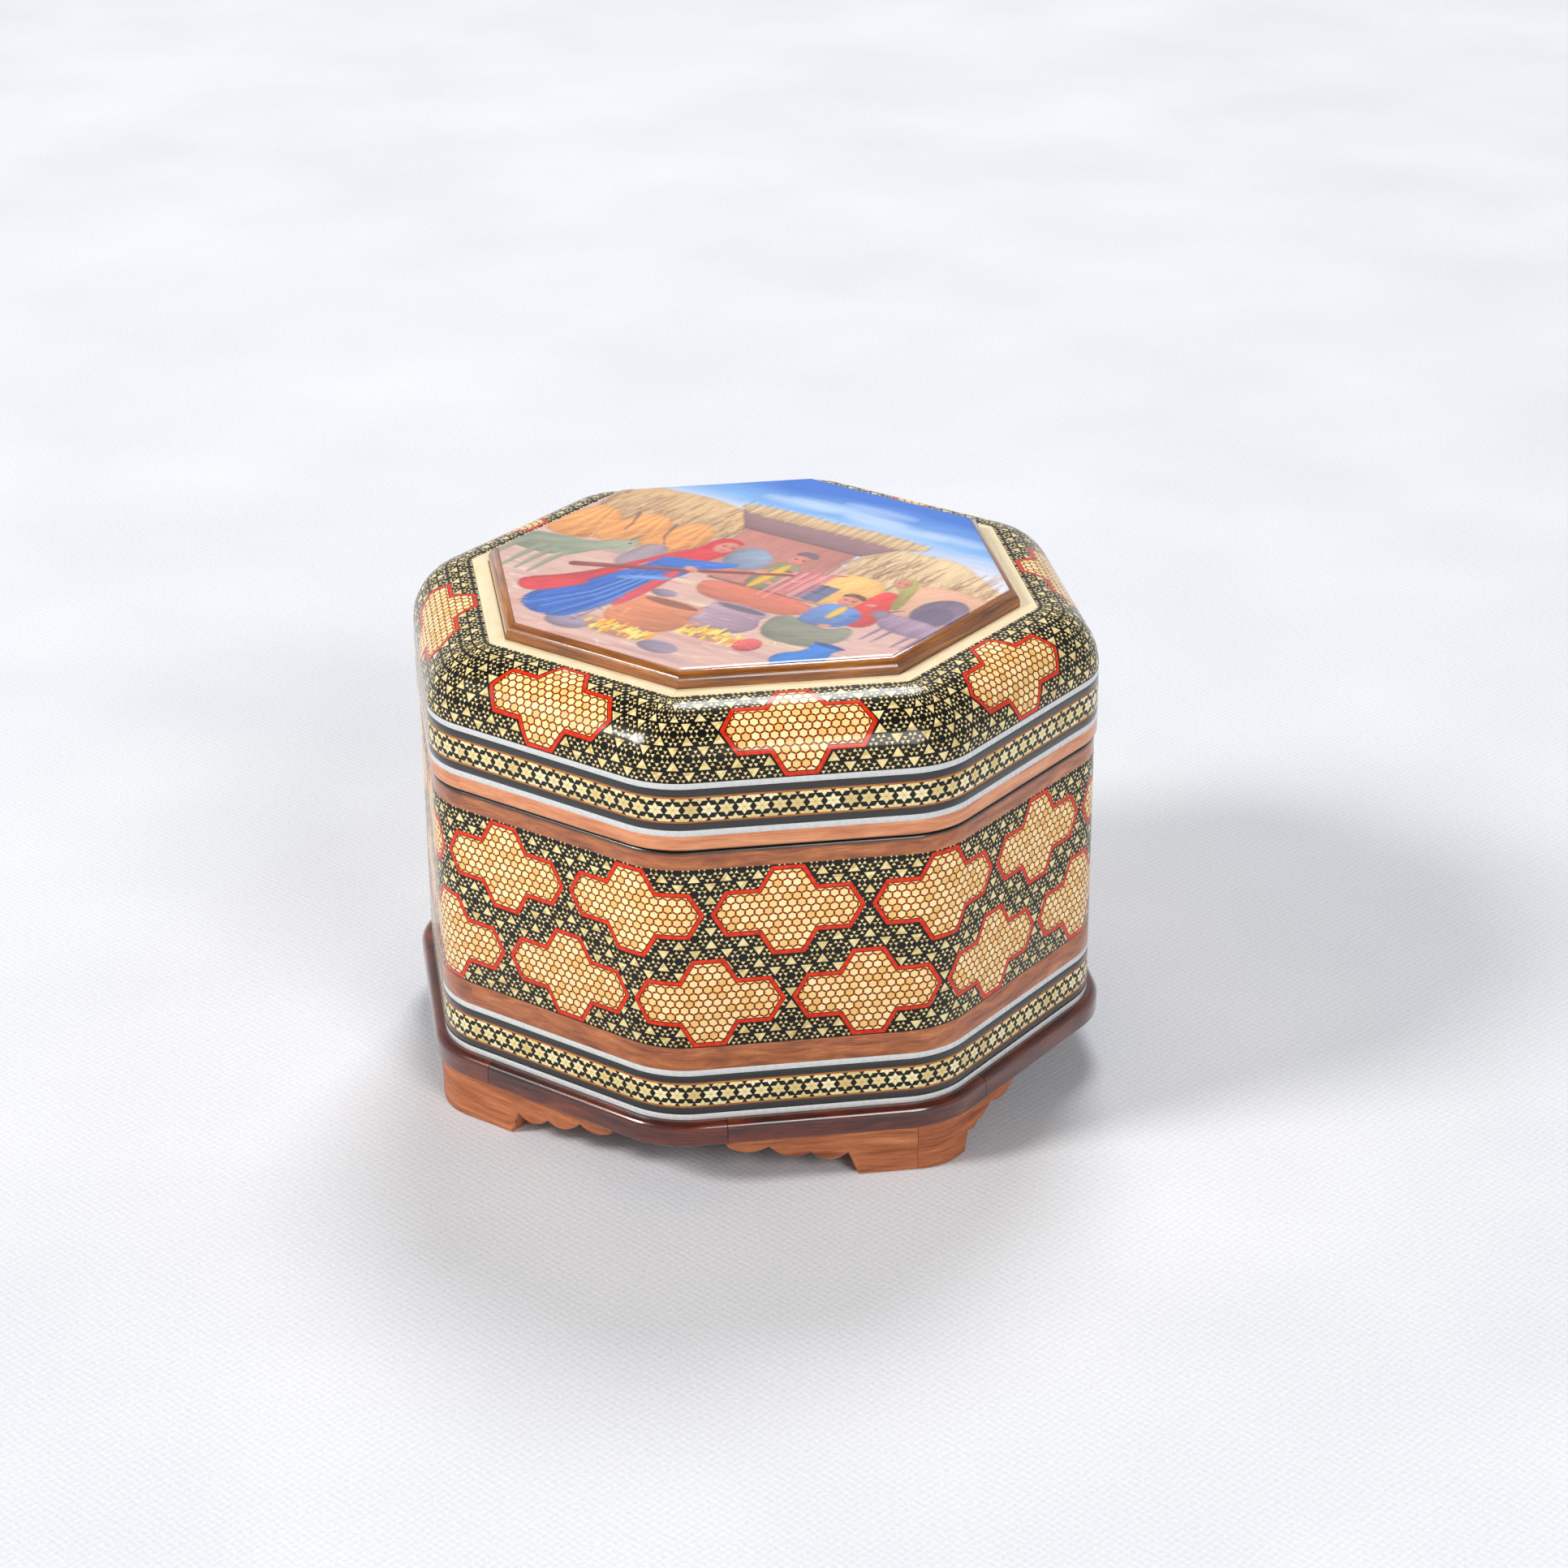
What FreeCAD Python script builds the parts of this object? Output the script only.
import FreeCAD, Part
import os
import Sketcher
from FreeCAD import Placement, Rotation, Vector

# An eight-sided wooden box with a hinged lid, veneered with khatam inlay.
# Frame: origin at the middle of the footprint on the floor, +Z up, front face towards -Y,
# lid hinge along X on the back face. Millimetres.

doc = FreeCAD.newDocument("inlaid_box")

# ---------------------------------------------------------------- driving dimensions
DIMENSIONS = [
    # apothem = half the distance across two opposite flats
    ("case_apothem", 70.0, "case, outside of the veneer"),
    ("lid_apothem", 70.5, "lid, outside of the veneer"),
    ("corner_radius", 18.0, "rounding of the upright corners"),
    ("veneer", 0.8, "thickness of every inlaid strip and veneer"),
    ("wall_inner", 62.4, "apothem of the inside of the walls"),
    ("lining", 1.0, "thickness of the velvet on card"),
    ("foot_height", 10.6, "floor to the underside of the plinth"),
    ("foot_apothem", 71.0, "outside of the foot boards"),
    ("foot_corner", 13.0, "rounding of the foot at its corner"),
    ("foot_board", 6.0, "thickness of a foot board"),
    ("foot_length", 46.0, "corner to the tip of the bracket"),
    ("foot_toe", 18.0, "corner to the end of the flat toe"),
    ("short_length", 26.5, "corner to the tip of the short bracket"),
    ("short_toe", 7.6, "corner to the end of the short bracket's toe"),
    ("plinth_apothem", 72.3, "outside of the plinth"),
    ("plinth_inner", 56.0, "inside of the plinth frame"),
    ("plinth_height", 5.0, "thickness of the plinth rails"),
    ("plinth_round", 1.8, "rounding of the plinth's top edge"),
    ("plinth_joint", 10.0, "angle from a corner to a rail joint, degrees"),
    ("bottom_panel", 4.0, "thickness of the bottom panel"),
    ("floor_pad", 1.5, "thickness of the velvet floor pad"),
    ("white_line", 1.3, "width of a white line"),
    ("black_line", 1.6, "width of a black line"),
    ("star_band", 5.7, "width of a star band with its thin edge lines"),
    ("lower_strip", 5.2, "width of the lower wood strip"),
    ("field_height", 40.1, "width of the inlaid field on the case"),
    ("upper_strip", 4.1, "width of the upper wood strip"),
    ("seam", 0.2, "gap between case and lid"),
    ("rim_height", 3.4, "width of the wood rim of the lid"),
    ("shoulder_radius", 12.9, "rounding of the lid's shoulder"),
    ("ivory_outer", 57.25, "apothem of the pale frame, outside"),
    ("ivory_inner", 53.7, "apothem of the pale frame, inside"),
    ("top_panel", 7.0, "thickness of the lid's top panel"),
    ("plaque_height", 4.1, "plaque above its seat on the top panel"),
    ("plaque_round", 2.6, "rounding of the plaque's edge"),
    ("painting_apothem", 51.6, "painted panel"),
    ("painting_thick", 0.6, "thickness of the painted panel"),
    ("painting_sunk", 0.4, "part of that thickness let into the plaque"),
    ("hinge_offset", 14.0, "middle of a hinge from the box's middle"),
    ("hinge_width", 12.0, "length of a hinge along its pin"),
    ("barrel_radius", 1.5, "hinge barrel"),
    ("bore_radius", 0.8, "hole for the hinge pin"),
    ("pin_radius", 0.75, "hinge pin"),
    ("leaf_thick", 0.8, "hinge leaf"),
    ("leaf_depth", 7.2, "hinge leaf, from the pin's axis into the wall"),
    ("screw_head", 1.1, "radius of a hinge screw's head"),
    ("screw_shank", 0.55, "radius of a hinge screw's shank"),
    ("screw_length", 5.0, "length of a hinge screw"),
]

sheet = doc.addObject("Spreadsheet::Sheet", "Dims")
for row, (alias, value, note) in enumerate(DIMENSIONS, start=1):
    sheet.set("A%d" % row, alias)
    sheet.set("B%d" % row, str(value))
    sheet.set("C%d" % row, note)
    sheet.setAlias("B%d" % row, alias)

# heights that follow from the widths above, from the floor up
LEVELS = [
    ("level_plinth", "foot_height"),
    ("level_case", "level_plinth + plinth_height"),
    ("level_low_black", "level_case + white_line"),
    ("level_low_star", "level_low_black + black_line"),
    ("level_high_black", "level_low_star + star_band"),
    ("level_high_white", "level_high_black + black_line"),
    ("level_lower_strip", "level_high_white + white_line"),
    ("level_field", "level_lower_strip + lower_strip"),
    ("level_upper_strip", "level_field + field_height"),
    ("level_case_top", "level_upper_strip + upper_strip"),
    ("level_lid", "level_case_top + seam"),
    ("level_lid_white", "level_lid + rim_height"),
    ("level_lid_black", "level_lid_white + white_line"),
    ("level_lid_star", "level_lid_black + black_line"),
    ("level_lid_black_two", "level_lid_star + star_band"),
    ("level_lid_white_two", "level_lid_black_two + black_line"),
    ("level_shoulder", "level_lid_white_two + white_line"),
    ("level_top", "level_shoulder + shoulder_radius"),
    ("level_seat", "level_top - veneer"),
    ("level_plaque", "level_seat + plaque_height"),
    ("level_pin", "level_case_top + seam / 2"),
    ("pin_back", "lid_apothem + barrel_radius + 0.1"),
]
first = len(DIMENSIONS) + 1
for row, (alias, formula) in enumerate(LEVELS, start=first):
    sheet.set("A%d" % row, alias)
    sheet.set("B%d" % row, "=" + formula)
    sheet.setAlias("B%d" % row, alias)
doc.recompute()

SIDES = 8
STEP = 360.0 / SIDES
HALF = STEP / 2
FRONT = -90.0                       # direction that the front face looks in
PIE_RADIUS = 120                    # larger than any part of the box
exports = []


def dims(expression):
    """Put the sheet's name before every alias in an expression."""
    words = {alias for alias, *_ in DIMENSIONS} | {alias for alias, _ in LEVELS}
    out = ""
    word = ""
    for char in expression + " ":
        if char.isalnum() or char == "_":
            word += char
            continue
        out += ("Dims." + word) if word in words else word
        out += char
        word = ""
    return out.strip()


def bind(obj, **expressions):
    for name, expression in expressions.items():
        obj.setExpression(name.replace("__", "."), dims(expression))


def value(alias):
    return float(sheet.get(alias))


def export(obj, label):
    obj.Label = label
    exports.append(obj)
    return obj


# ---------------------------------------------------------------- octagonal solids
def octagon_outline(name, apothem, base):
    """Eight-sided wire at height base, with flats towards +-X and +-Y."""
    outline = doc.addObject("Part::RegularPolygon", name)
    outline.Polygon = SIDES
    outline.Placement = Placement(Vector(), Rotation(Vector(0, 0, 1), HALF))
    bind(outline, Circumradius="(%s) / cos(22.5)" % apothem, Placement__Base__z=base)
    return outline


def raise_outline(name, outline, height):
    """Solid prism from a closed wire."""
    solid = doc.addObject("Part::Extrusion", name)
    solid.Base = outline
    solid.DirMode = "Custom"
    solid.Dir = Vector(0, 0, 1)
    solid.Solid = True
    bind(solid, LengthFwd=height)
    return solid


def sharp_octagon(name, apothem, base, height):
    """Eight-sided prism with sharp upright corners."""
    return raise_outline(name, octagon_outline(name + "_outline", apothem, base), height)


def round_octagon(name, apothem, corner, base, height):
    """Eight-sided prism with rounded upright corners."""
    core = octagon_outline(name + "_core", "(%s) - (%s)" % (apothem, corner), base)
    outline = doc.addObject("Part::Offset2D", name + "_outline")
    outline.Source = core
    outline.Join = 0
    bind(outline, Value=corner)
    return raise_outline(name, outline, height)


def cut(name, base, tool):
    result = doc.addObject("Part::Cut", name)
    result.Base = base
    result.Tool = tool
    return result


def common(name, *shapes):
    result = doc.addObject("Part::MultiCommon", name)
    result.Shapes = list(shapes)
    return result


def pie(name, start, angle, base, height):
    """Wedge of a tall cylinder, used to part a ring into its pieces."""
    wedge = doc.addObject("Part::Cylinder", name)
    wedge.Radius = PIE_RADIUS
    wedge.Angle = angle
    wedge.Placement = Placement(Vector(), Rotation(Vector(0, 0, 1), start))
    bind(wedge, Placement__Base__z=base, Height=height)
    return wedge


def rounded_top(name, solid, radius, top):
    """Round the edges of a solid that lie at height top."""
    doc.recompute()
    body = doc.addObject("PartDesign::Body", name)
    body.BaseFeature = solid
    doc.recompute()
    level = value(top)
    edges = [
        "Edge%d" % (i + 1)
        for i, edge in enumerate(body.BaseFeature.Shape.Edges)
        if all(abs(v.Point.z - level) < 1e-6 for v in edge.Vertexes)
    ]
    fillet = body.newObject("PartDesign::Fillet", name + "_round")
    fillet.Base = (body.Group[0], edges)
    bind(fillet, Radius=radius)
    body.Tip = fillet
    doc.recompute()
    return body


# ---------------------------------------------------------------- bands round the case and lid
def band(label, apothem, base, height):
    """One strip of veneer that runs right round the box."""
    corner = "corner_radius"
    outer = round_octagon(label + "_outer", apothem, corner, base, height)
    inner = round_octagon(label + "_inner", "%s - veneer" % apothem,
                          "%s - veneer" % corner, base, height)
    return export(cut(label, outer, inner), label)


CASE_BANDS = [
    ("case_white_line_lower", "level_case", "white_line"),
    ("case_black_line_lower", "level_low_black", "black_line"),
    ("case_star_band", "level_low_star", "star_band"),
    ("case_black_line_upper", "level_high_black", "black_line"),
    ("case_white_line_upper", "level_high_white", "white_line"),
    ("case_lower_strip", "level_lower_strip", "lower_strip"),
    ("case_field_inlay", "level_field", "field_height"),
    ("case_upper_strip", "level_upper_strip", "upper_strip"),
]
LID_BANDS = [
    ("lid_rim", "level_lid", "rim_height"),
    ("lid_white_line_lower", "level_lid_white", "white_line"),
    ("lid_black_line_lower", "level_lid_black", "black_line"),
    ("lid_star_band", "level_lid_star", "star_band"),
    ("lid_black_line_upper", "level_lid_black_two", "black_line"),
    ("lid_white_line_upper", "level_lid_white_two", "white_line"),
]
for label, base, height in CASE_BANDS:
    band(label, "case_apothem", base, height)
for label, base, height in LID_BANDS:
    band(label, "lid_apothem", base, height)


# ---------------------------------------------------------------- hinge mortises
def hinge_block(name, side, base, height):
    """Room for one hinge leaf in the top of the back wall."""
    block = doc.addObject("Part::Box", name)
    bind(block, Length="hinge_width", Width="leaf_depth + 2", Height=height,
         Placement__Base__x="%d * hinge_offset - hinge_width / 2" % side,
         Placement__Base__y="pin_back - leaf_depth", Placement__Base__z=base)
    return block


def screw_places(side):
    """Offsets of the two screws of one leaf along X, as expressions."""
    return ["%d * hinge_offset %s hinge_width * 0.28" % (side, sign) for sign in "-+"]


SCREW_BACK = "pin_back - leaf_depth + 2.4"


def screw(name, x_place, level, upward):
    """Countersunk screw whose head is flush with the leaf; upward is +1 or -1."""
    head = doc.addObject("Part::Cone", name + "_head")
    shank = doc.addObject("Part::Cylinder", name + "_shank")
    turn = Rotation(Vector(1, 0, 0), 0 if upward > 0 else 180)
    for piece in (head, shank):
        piece.Placement = Placement(Vector(), turn)
        bind(piece, Placement__Base__x=x_place, Placement__Base__y=SCREW_BACK,
             Placement__Base__z=level)
    bind(head, Radius1="screw_head", Radius2="screw_shank", Height="leaf_thick")
    bind(shank, Radius="screw_shank", Height="screw_length")
    solid = doc.addObject("Part::MultiFuse", name)
    solid.Shapes = [head, shank]
    return solid


def group(label, members):
    compound = doc.addObject("Part::Compound", label)
    compound.Links = members
    return export(compound, label)


CASE_LEAF_TOP = "level_case_top + seam / 4"
LID_LEAF_FACE = "level_lid - seam / 4"
case_screws = []
lid_screws = []
for side in (-1, 1):
    for number, place in enumerate(screw_places(side)):
        tag = "%s%d" % ("left" if side < 0 else "right", number)
        case_screws.append(screw("case_screw_" + tag, place, CASE_LEAF_TOP, -1))
        lid_screws.append(screw("lid_screw_" + tag, place, LID_LEAF_FACE, 1))
group("hinge_screws_case", case_screws)
group("hinge_screws_lid", lid_screws)


def fuse(name, shapes):
    result = doc.addObject("Part::MultiFuse", name)
    result.Shapes = shapes
    return result


case_mortises = fuse("case_mortises", [
    hinge_block("case_mortise_left", -1, "level_case_top + seam / 4 - leaf_thick", "5"),
    hinge_block("case_mortise_right", 1, "level_case_top + seam / 4 - leaf_thick", "5"),
] + case_screws)
lid_mortises = fuse("lid_mortises", [
    hinge_block("lid_mortise_left", -1, "level_lid - seam / 4 + leaf_thick - 5", "5"),
    hinge_block("lid_mortise_right", 1, "level_lid - seam / 4 + leaf_thick - 5", "5"),
] + lid_screws)

# the veneer bands at the seam are let in for the hinges too
for label, mortises in (("case_upper_strip", case_mortises), ("lid_rim", lid_mortises)):
    whole = next(obj for obj in exports if obj.Label == label)
    exports.remove(whole)
    whole.Label = label + "_whole"
    export(cut(label + "_let_in", whole, mortises), label)

# ---------------------------------------------------------------- case walls
wall_outer = round_octagon("wall_outer", "case_apothem - veneer", "corner_radius - veneer",
                           "level_case", "level_case_top - level_case")
wall_hollow = sharp_octagon("wall_hollow", "wall_inner", "level_case",
                            "level_case_top - level_case")
wall_ring = cut("wall_let_in", cut("wall_ring", wall_outer, wall_hollow), case_mortises)
for number in range(SIDES):
    start = FRONT - HALF + number * STEP
    wedge = pie("wall_pie_%d" % (number + 1), start, STEP, "level_case", "100")
    label = "wall_stave_%d" % (number + 1)
    export(common(label, wall_ring, wedge), label)

export(sharp_octagon("case_bottom", "wall_inner", "level_case", "bottom_panel"), "case_bottom")

# velvet over card on the inside
LINING_TOP = "level_case_top - 1"
lining_outer = sharp_octagon("lining_outer", "wall_inner", "level_case + bottom_panel",
                             "%s - level_case - bottom_panel" % LINING_TOP)
lining_inner = sharp_octagon("lining_inner", "wall_inner - lining",
                             "level_case + bottom_panel", "100")
export(cut("case_lining", lining_outer, lining_inner), "case_lining")
export(sharp_octagon("case_floor_pad", "wall_inner - lining", "level_case + bottom_panel",
                     "floor_pad"), "case_floor_pad")

# ---------------------------------------------------------------- plinth
plinth_outer = round_octagon("plinth_outer", "plinth_apothem", "corner_radius + 2",
                             "level_plinth", "plinth_height")
plinth_soft = rounded_top("plinth_soft", plinth_outer, "plinth_round", "level_case")
plinth_hollow = sharp_octagon("plinth_hollow", "plinth_inner", "level_plinth",
                              "plinth_height")
plinth_ring = cut("plinth_ring", plinth_soft, plinth_hollow)
for number in range(SIDES):
    start = FRONT - HALF + number * STEP + value("plinth_joint")
    wedge = pie("plinth_pie_%d" % (number + 1), start, STEP, "level_plinth", "100")
    label = "plinth_rail_%d" % (number + 1)
    export(common(label, plinth_ring, wedge), label)

# ---------------------------------------------------------------- feet
# Underside of a bracket from the toe to the tip: share of foot_length, share of foot_height,
# and how far the arc that arrives there hangs below its chord, as a share of foot_height.
BRACKET = [
    (0.440, 0.50, 0.0),
    (0.610, 0.58, 0.16),
    (0.800, 0.78, 0.16),
    (0.985, 0.84, 0.12),
    (1.000, 1.00, 0.0),
]
# the other side of the foot is shorter; shares of short_length and foot_height
SHORT_BRACKET = [
    (0.330, 0.45, 0.0),
    (0.475, 0.50, 0.09),
    (0.655, 0.74, 0.08),
    (0.960, 0.80, 0.13),
    (1.000, 1.00, 0.0),
]
FOOT_LAP = 0.2                      # how far a board runs past the corner, share of foot_length


def bracket_profile(name, hand, outline, length_name, toe_name):
    """Upright board with a scalloped underside, drawn on its face; hand is +1 or -1."""
    body = doc.addObject("PartDesign::Body", name)
    sketch = body.newObject("Sketcher::SketchObject", name + "_sketch")
    plane = next(f for f in body.Origin.OriginFeatures if f.Role == "XZ_Plane")
    sketch.AttachmentSupport = (plane, [""])
    sketch.MapMode = "FlatFace"
    length = value(length_name)
    height = value("foot_height")
    toe = value(toe_name)
    lap = round(FOOT_LAP * value("foot_length") / length, 4)
    across = [(-lap, 1.0), (-lap, 0), (toe / length, 0)]
    across += [(u, v) for u, v, _ in outline]
    sags = [0, 0, 0] + [sag for _, _, sag in outline]
    points = [Vector(hand * u * length, v * height, 0) for u, v in across]
    count = len(points)
    for i in range(count):
        start = points[i]
        end = points[(i + 1) % count]
        sag = sags[(i + 1) % count] * height
        if sag > 0:
            middle = (start + end) * 0.5 + Vector(0, -sag, 0)
            west, east = sorted((start, end), key=lambda point: point.x)
            sketch.addGeometry(Part.Arc(west, middle, east), False)
        else:
            sketch.addGeometry(Part.LineSegment(start, end), False)
    ends = []
    for i in range(count):
        geometry = sketch.Geometry[i]
        flipped = (geometry.StartPoint - points[i]).Length > 1e-6
        ends.append((2, 1) if flipped else (1, 2))
    for i in range(count):
        after = (i + 1) % count
        sketch.addConstraint(
            Sketcher.Constraint("Coincident", i, ends[i][1], after, ends[after][0]))
    for i, (u, v) in enumerate(across):
        for kind, share, alias in (("DistanceX", hand * u, length_name),
                                   ("DistanceY", v, "foot_height")):
            if kind == "DistanceX" and i == 2:
                share, alias = hand, toe_name
            size = share * value(alias)
            index = sketch.addConstraint(
                Sketcher.Constraint(kind, -1, 1, i, ends[i][0], size))
            sketch.setExpression("Constraints[%d]" % index, dims("%r * %s" % (share, alias)))
    for i in range(count):
        if sags[(i + 1) % count] > 0:
            sketch.addConstraint(Sketcher.Constraint("Radius", i, sketch.Geometry[i].Radius))
    pad = body.newObject("PartDesign::Pad", name + "_pad")
    pad.Profile = sketch
    pad.Midplane = True
    pad.Length = 60
    body.Tip = pad
    return body


foot_outer = round_octagon("foot_outer", "foot_apothem", "foot_corner", "0", "foot_height")
foot_hollow = sharp_octagon("foot_hollow", "foot_apothem - foot_board", "0", "foot_height")
foot_ring = cut("foot_ring", foot_outer, foot_hollow)
# a foot stands at every second corner; its left board stops short of the corner and the
# right board runs past it, so the joint shows on the left face
FOOT_CORNERS = [FRONT - HALF, FRONT + HALF + STEP, FRONT + 3 * HALF + 2 * STEP,
                FRONT + HALF + 5 * STEP]
FOOT_JOINT = 4.0
for number, corner in enumerate(FOOT_CORNERS, start=1):
    for hand, word in ((-1, "left"), (1, "right")):
        label = "foot_%d_%s" % (number, word)
        normal = corner + hand * HALF
        # the long brackets of feet 1 and 2 face each other, and so do those of feet 3 and 4
        if (number % 2 == 1) == (word == "right"):
            board = bracket_profile(label + "_board", hand, BRACKET, "foot_length", "foot_toe")
        else:
            board = bracket_profile(label + "_board", hand, SHORT_BRACKET, "short_length",
                                    "short_toe")
        turn = Rotation(Vector(0, 0, 1), normal + 90)
        reach = value("foot_apothem")
        edge = -hand * reach * 0.41421356
        board.Placement = Placement(turn.multVec(Vector(edge, -reach, 0)), turn)
        if hand < 0:
            wedge = pie(label + "_pie", corner - FOOT_JOINT - 60, 60, "0", "foot_height")
        else:
            wedge = pie(label + "_pie", corner - FOOT_JOINT, 60, "0", "foot_height")
        export(common(label, foot_ring, board, wedge), label)

# ---------------------------------------------------------------- lid
lid_block = round_octagon("lid_block", "lid_apothem - veneer", "corner_radius - veneer",
                          "level_lid", "level_seat - level_lid")
lid_dome = rounded_top("lid_dome", lid_block, "shoulder_radius - veneer", "level_seat")
lid_hollow = sharp_octagon("lid_hollow", "wall_inner", "level_lid", "100")
lid_ring = cut("lid_let_in", cut("lid_ring", lid_dome, lid_hollow), lid_mortises)
for number in range(SIDES):
    start = FRONT - HALF + number * STEP
    wedge = pie("lid_pie_%d" % (number + 1), start, STEP, "level_lid", "100")
    label = "lid_stave_%d" % (number + 1)
    export(common(label, lid_ring, wedge), label)

top_prism = sharp_octagon("top_prism", "wall_inner", "level_seat - top_panel", "top_panel")
export(common("lid_top_panel", lid_dome, top_prism), "lid_top_panel")

# veneer over the shoulder, stopping at the pale frame
shoulder_block = round_octagon("shoulder_block", "lid_apothem", "corner_radius",
                               "level_shoulder - 3", "shoulder_radius + 3")
shoulder_dome = rounded_top("shoulder_dome", shoulder_block, "shoulder_radius", "level_top")
frame_room = sharp_octagon("frame_room", "ivory_outer", "level_shoulder", "100")
below = sharp_octagon("below_shoulder", "lid_apothem + 5", "level_shoulder - 5", "5")
shoulder_tools = fuse("shoulder_tools", [frame_room, below])
shoulder_shell = cut("shoulder_shell", shoulder_dome, lid_dome)
export(cut("lid_shoulder_inlay", shoulder_shell, shoulder_tools), "lid_shoulder_inlay")

# pale frame: eight mitred strips, alike, kept as one group
ivory_outer = sharp_octagon("ivory_outside", "ivory_outer", "level_seat", "veneer")
ivory_inner = sharp_octagon("ivory_inside", "ivory_inner", "level_seat", "veneer")
ivory_ring = cut("ivory_ring", ivory_outer, ivory_inner)
MITRE_GAP = 0.02
strips = []
for number in range(SIDES):
    start = FRONT - HALF + number * STEP + MITRE_GAP
    wedge = pie("ivory_pie_%d" % (number + 1), start, STEP - 2 * MITRE_GAP, "level_seat", "5")
    strips.append(common("ivory_strip_%d" % (number + 1), ivory_ring, wedge))
group("ivory_frame", strips)

# raised plaque with a rounded edge, and the painted panel let into its top
plaque_block = sharp_octagon("plaque_block", "ivory_inner", "level_seat", "plaque_height")
plaque_soft = rounded_top("plaque_soft", plaque_block, "plaque_round", "level_plaque")
PANEL_BASE = "level_plaque - painting_sunk"
panel_room = sharp_octagon("panel_room", "painting_apothem", PANEL_BASE, "painting_thick")
export(cut("plaque_cut", plaque_soft, panel_room), "plaque")
export(sharp_octagon("painted_panel", "painting_apothem", PANEL_BASE, "painting_thick"),
       "painted_panel")

# velvet inside the lid: a shallow cup of card and cloth
cup_outer = sharp_octagon("cup_outer", "wall_inner", "level_lid + 1",
                          "level_seat - top_panel - level_lid - 1")
cup_inner = sharp_octagon("cup_inner", "wall_inner - lining", "level_lid",
                          "level_seat - top_panel - lining - level_lid")
export(cut("lid_lining_cut", cup_outer, cup_inner), "lid_lining")


# ---------------------------------------------------------------- hinges
def knuckle(name, side, place, share):
    """Part of a hinge barrel: place and share are fractions of the hinge's length."""
    tube = doc.addObject("Part::Cylinder", name)
    tube.Placement = Placement(Vector(), Rotation(Vector(0, 1, 0), 90))
    bind(tube, Radius="barrel_radius", Height="hinge_width * %r" % share,
         Placement__Base__x="%d * hinge_offset + hinge_width * %r" % (side, place - 0.5),
         Placement__Base__y="pin_back", Placement__Base__z="level_pin")
    return tube


def bore(name, side):
    hole = doc.addObject("Part::Cylinder", name)
    hole.Placement = Placement(Vector(), Rotation(Vector(0, 1, 0), 90))
    bind(hole, Radius="bore_radius", Height="hinge_width + 2",
         Placement__Base__x="%d * hinge_offset - hinge_width / 2 - 1" % side,
         Placement__Base__y="pin_back", Placement__Base__z="level_pin")
    return hole


def tongue(name, side, base, place, share):
    """Narrow plate that joins a leaf to its knuckle."""
    plate = doc.addObject("Part::Box", name)
    bind(plate, Length="hinge_width * %r" % share, Width="leaf_depth", Height="leaf_thick",
         Placement__Base__x="%d * hinge_offset + hinge_width * %r" % (side, place - 0.5),
         Placement__Base__y="pin_back - leaf_depth", Placement__Base__z=base)
    return plate


def plate(name, side, base):
    """Leaf proper, which stays inside the wall's outer face."""
    flat = doc.addObject("Part::Box", name)
    bind(flat, Length="hinge_width", Width="case_apothem - pin_back + leaf_depth",
         Height="leaf_thick",
         Placement__Base__x="%d * hinge_offset - hinge_width / 2" % side,
         Placement__Base__y="pin_back - leaf_depth", Placement__Base__z=base)
    return flat


CASE_KNUCKLES = [(0.0, 0.32), (0.68, 0.32)]
LID_KNUCKLES = [(0.34, 0.32)]
leaves = {"case": [], "lid": []}
pins = []
for side, word in ((-1, "left"), (1, "right")):
    for owner, knuckles, base, screws in (
        ("case", CASE_KNUCKLES, "level_case_top + seam / 4 - leaf_thick", case_screws),
        ("lid", LID_KNUCKLES, "level_lid - seam / 4", lid_screws),
    ):
        name = "%s_leaf_%s" % (owner, word)
        parts = [plate(name + "_plate", side, base)]
        for i, (place, share) in enumerate(knuckles):
            parts.append(knuckle("%s_knuckle_%d" % (name, i), side, place, share))
            parts.append(tongue("%s_tongue_%d" % (name, i), side, base, place, share))
        solid = fuse(name + "_solid", parts)
        drilled = cut(name + "_bored", solid, bore(name + "_bore", side))
        pair = fuse(name + "_screws", screws[:2] if side < 0 else screws[2:])
        leaves[owner].append(cut(name, drilled, pair))
    pin = doc.addObject("Part::Cylinder", "pin_" + word)
    pin.Placement = Placement(Vector(), Rotation(Vector(0, 1, 0), 90))
    bind(pin, Radius="pin_radius", Height="hinge_width",
         Placement__Base__x="%d * hinge_offset - hinge_width / 2" % side,
         Placement__Base__y="pin_back", Placement__Base__z="level_pin")
    pins.append(pin)
group("hinge_leaves_case", leaves["case"])
group("hinge_leaves_lid", leaves["lid"])
group("hinge_pins", pins)

# ---------------------------------------------------------------- checks and export
doc.recompute()
for obj in doc.Objects:
    for state in ("Invalid", "Error"):
        if state in obj.State:
            raise RuntimeError("%s is %s" % (obj.Label, state))
for obj in exports:
    if obj.Shape.isNull() or not obj.Shape.isValid() or not obj.Shape.Solids:
        raise RuntimeError("%s has no valid solid" % obj.Label)

os.makedirs("parts", exist_ok=True)
for obj in exports:
    obj.Shape.exportStep("parts/%s.step" % obj.Label)
print("%d nodes written" % len(exports))
